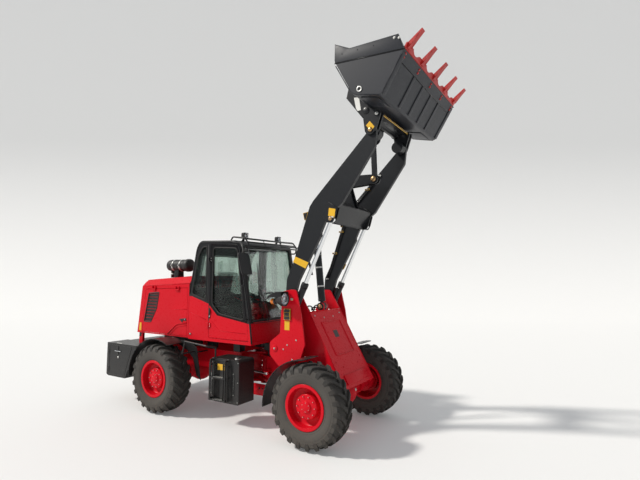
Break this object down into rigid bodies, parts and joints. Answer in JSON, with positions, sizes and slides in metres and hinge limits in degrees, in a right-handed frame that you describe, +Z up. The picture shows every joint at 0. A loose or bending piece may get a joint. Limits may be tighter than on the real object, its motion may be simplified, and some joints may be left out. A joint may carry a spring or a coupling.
{
  "type": "compact articulated wheel loader",
  "caption": "Small articulated wheel loader with an enclosed cab, a bellcrank lift boom, a quick hitch and a toothed bucket, shown with the boom raised.",
  "frame": {"origin": "bottom centre of the whole machine's box at rest, on the ground", "axes": "+X forward, +Y to the machine's left, +Z up"},
  "size_m": [5.465, 1.96, 4.744],
  "materials": {
    "black_paint": "satin black paint",
    "black_plastic": "black moulded plastic",
    "boom_paint": "satin dark grey paint",
    "chrome": "hard chrome",
    "glass": "green tinted safety glass",
    "pin_steel": "bare pin steel",
    "red_paint": "gloss red paint",
    "seat_cover": "black woven cover",
    "tyre_rubber": "black rubber"
  },
  "bodies": {
    "rear_frame": {"rear_chassis": "red_paint", "rear_axle": "red_paint", "engine_block": "black_paint", "counterweight": "black_paint", "rear_fenders": "black_paint", "cab_frame": "black_paint", "cab_panels": "red_paint", "cab_floor": "black_paint", "cab_glass": "glass", "seat": "seat_cover", "steering_column": "black_plastic", "hood": "red_paint", "rear_grille": "black_paint", "tanks": "black_paint", "air_cleaner": "black_plastic", "handrails": "black_paint", "mirrors": "black_plastic", "lamps": "black_plastic", "tow_hitch": "black_paint"},
    "front_frame": {"front_chassis": "red_paint", "front_axle": "red_paint", "front_fenders": "black_paint", "headlamps": "black_plastic"},
    "boom": {"boom_arm_left": "boom_paint", "boom_arm_right": "boom_paint", "boom_crossbeam": "boom_paint"},
    "hitch_pins": {"hitch_pins": "pin_steel"},
    "bucket": {"quick_hitch": "boom_paint", "bucket": "boom_paint", "bucket_teeth": "red_paint"},
    "rocker_pin": {"rocker_pin": "pin_steel"},
    "rocker": {"rocker": "boom_paint"},
    "link_pin": {"link_pin": "pin_steel"},
    "link": {"link": "boom_paint"},
    "tilt_pin": {"tilt_pin": "pin_steel"},
    "tilt_barrel": {"tilt_barrel": "black_paint"},
    "tilt_rod": {"tilt_rod": "chrome"},
    "lift_barrel_left": {"lift_barrel_left": "black_paint"},
    "lift_rod_left": {"lift_rod_left": "chrome"},
    "steer_barrel_left": {"steer_barrel_left": "black_paint"},
    "steer_rod_left": {"steer_rod_left": "chrome"},
    "hood_door_left": {"hood_door_left": "red_paint"},
    "door_left": {"door_left": "black_paint", "door_glass_left": "glass"},
    "wheel_front_left": {"tyre_front_left": "tyre_rubber", "rim_front_left": "red_paint"},
    "wheel_rear_left": {"tyre_rear_left": "tyre_rubber", "rim_rear_left": "red_paint"},
    "lift_barrel_right": {"lift_barrel_right": "black_paint"},
    "lift_rod_right": {"lift_rod_right": "chrome"},
    "steer_barrel_right": {"steer_barrel_right": "black_paint"},
    "steer_rod_right": {"steer_rod_right": "chrome"},
    "hood_door_right": {"hood_door_right": "red_paint"},
    "door_right": {"door_right": "black_paint", "door_glass_right": "glass"},
    "wheel_front_right": {"tyre_front_right": "tyre_rubber", "rim_front_right": "red_paint"},
    "wheel_rear_right": {"tyre_rear_right": "tyre_rubber", "rim_rear_right": "red_paint"}
  },
  "joints": [
    {"name": "steer", "type": "hinge", "parent": "rear_frame", "child": "front_frame", "pos_m": [-0.0475, 0, 0.685], "axis": [0, 0, 1], "range_deg": [-35, 35]},
    {"name": "boom_lift", "type": "hinge", "parent": "front_frame", "child": "boom", "pos_m": [0.7575, 0, 1.72], "axis": [0, 1, 0], "range_deg": [0, 100]},
    {"name": "hitch_level", "type": "hinge", "parent": "boom", "child": "hitch_pins", "pos_m": [1.9325, 0, 3.8], "axis": [0, -1, 0], "range_deg": [-0.05, 80.05]},
    {"name": "bucket_tilt", "type": "hinge", "parent": "hitch_pins", "child": "bucket", "pos_m": [1.9325, 0, 3.8], "axis": [0, -1, 0], "range_deg": [-95, 0]},
    {"name": "rocker_level", "type": "hinge", "parent": "boom", "child": "rocker_pin", "pos_m": [1.2975, 0, 3.305], "axis": [0, -1, 0], "range_deg": [-33, 0.05]},
    {"name": "rocker_turn", "type": "hinge", "parent": "rocker_pin", "child": "rocker", "pos_m": [1.2975, 0, 3.305], "axis": [0, -1, 0], "range_deg": [-0.05, 37.51]},
    {"name": "link_level", "type": "hinge", "parent": "bucket", "child": "link_pin", "pos_m": [1.7225, 0, 3.87], "axis": [0, -1, 0], "range_deg": [-98.05, 0.05]},
    {"name": "link_turn", "type": "hinge", "parent": "link_pin", "child": "link", "pos_m": [1.7225, 0, 3.87], "axis": [0, -1, 0], "range_deg": [-0.05, 51.5]},
    {"name": "tilt_level", "type": "hinge", "parent": "front_frame", "child": "tilt_pin", "pos_m": [0.9435, 0, 1.6], "axis": [0, -1, 0], "range_deg": [-98.76, 0.05]},
    {"name": "tilt_barrel_turn", "type": "hinge", "parent": "tilt_pin", "child": "tilt_barrel", "pos_m": [0.9435, 0, 1.6], "axis": [0, -1, 0], "range_deg": [-16.48, 0.05]},
    {"name": "tilt_rod_slide", "type": "slide", "parent": "tilt_barrel", "child": "tilt_rod", "axis": [-0.1103, 0, 0.9939], "range_m": [-0.2151, 0.0005]},
    {"name": "lift_barrel_turn_left", "type": "hinge", "parent": "front_frame", "child": "lift_barrel_left", "pos_m": [0.5775, 0.495, 1.07], "axis": [0, -1, 0], "range_deg": [-71.7, 0.05]},
    {"name": "lift_rod_slide_left", "type": "slide", "parent": "lift_barrel_left", "child": "lift_rod_left", "axis": [0.4288, 0, 0.9034], "range_m": [-0.76374, 0.0005]},
    {"name": "steer_barrel_turn_left", "type": "hinge", "parent": "rear_frame", "child": "steer_barrel_left", "pos_m": [-0.5425, 0.23, 0.655], "axis": [0, 0, 1], "range_deg": [-13.06, 13.06]},
    {"name": "steer_rod_slide_left", "type": "slide", "parent": "steer_barrel_left", "child": "steer_rod_left", "axis": [0.9958, 0.0917, 0], "range_m": [-0.16506, 0.16506]},
    {"name": "door_left_hinge", "type": "hinge", "parent": "rear_frame", "child": "door_left", "pos_m": [-0.6125, 0.632, 1.8], "axis": [0, 0, 1], "range_deg": [0, 80]},
    {"name": "hood_door_left_hinge", "type": "hinge", "parent": "rear_frame", "child": "hood_door_left", "pos_m": [-1.5725, 0.632, 1.79], "axis": [1, 0, 0], "range_deg": [0, 75]},
    {"name": "wheel_front_left_roll", "type": "hinge", "parent": "front_frame", "child": "wheel_front_left", "pos_m": [1.2775, 0.802, 0.5], "axis": [0, 1, 0], "continuous": true},
    {"name": "wheel_rear_left_roll", "type": "hinge", "parent": "rear_frame", "child": "wheel_rear_left", "pos_m": [-1.3725, 0.802, 0.5], "axis": [0, 1, 0], "continuous": true},
    {"name": "lift_barrel_turn_right", "type": "hinge", "parent": "front_frame", "child": "lift_barrel_right", "pos_m": [0.5775, -0.495, 1.07], "axis": [0, -1, 0], "range_deg": [-71.7, 0.05]},
    {"name": "lift_rod_slide_right", "type": "slide", "parent": "lift_barrel_right", "child": "lift_rod_right", "axis": [0.4288, 0, 0.9034], "range_m": [-0.76374, 0.0005]},
    {"name": "steer_barrel_turn_right", "type": "hinge", "parent": "rear_frame", "child": "steer_barrel_right", "pos_m": [-0.5425, -0.23, 0.655], "axis": [0, 0, 1], "range_deg": [-13.06, 13.06]},
    {"name": "steer_rod_slide_right", "type": "slide", "parent": "steer_barrel_right", "child": "steer_rod_right", "axis": [0.9958, -0.0917, 0], "range_m": [-0.16506, 0.16506]},
    {"name": "door_right_hinge", "type": "hinge", "parent": "rear_frame", "child": "door_right", "pos_m": [-0.6125, -0.632, 1.8], "axis": [0, 0, -1], "range_deg": [0, 80]},
    {"name": "hood_door_right_hinge", "type": "hinge", "parent": "rear_frame", "child": "hood_door_right", "pos_m": [-1.5725, -0.632, 1.79], "axis": [-1, 0, 0], "range_deg": [0, 75]},
    {"name": "wheel_front_right_roll", "type": "hinge", "parent": "front_frame", "child": "wheel_front_right", "pos_m": [1.2775, -0.802, 0.5], "axis": [0, 1, 0], "continuous": true},
    {"name": "wheel_rear_right_roll", "type": "hinge", "parent": "rear_frame", "child": "wheel_rear_right", "pos_m": [-1.3725, -0.802, 0.5], "axis": [0, 1, 0], "continuous": true}
  ],
  "couplings": [
    {"joint": "hitch_level", "follows": "boom_lift", "ratio": 0.8},
    {"joint": "rocker_level", "follows": "boom_lift", "ratio": -0.32949},
    {"joint": "rocker_turn", "follows": "bucket_tilt", "ratio": -0.39436},
    {"joint": "link_level", "follows": "boom_lift", "ratio": -0.97999},
    {"joint": "link_turn", "follows": "bucket_tilt", "ratio": -0.54155},
    {"joint": "tilt_level", "follows": "boom_lift", "ratio": -0.98706},
    {"joint": "tilt_barrel_turn", "follows": "bucket_tilt", "ratio": 0.17298},
    {"joint": "tilt_rod_slide", "follows": "bucket_tilt", "m_per_rad": 0.12943},
    {"joint": "lift_barrel_turn_left", "follows": "boom_lift", "ratio": -0.71647},
    {"joint": "lift_rod_slide_left", "follows": "boom_lift", "m_per_rad": -0.4373},
    {"joint": "steer_barrel_turn_left", "follows": "steer", "ratio": 0.37167},
    {"joint": "steer_rod_slide_left", "follows": "steer", "m_per_rad": -0.2694},
    {"joint": "lift_barrel_turn_right", "follows": "boom_lift", "ratio": -0.71647},
    {"joint": "lift_rod_slide_right", "follows": "boom_lift", "m_per_rad": -0.4373},
    {"joint": "steer_barrel_turn_right", "follows": "steer", "ratio": 0.37167},
    {"joint": "steer_rod_slide_right", "follows": "steer", "m_per_rad": 0.2694}
  ]
}
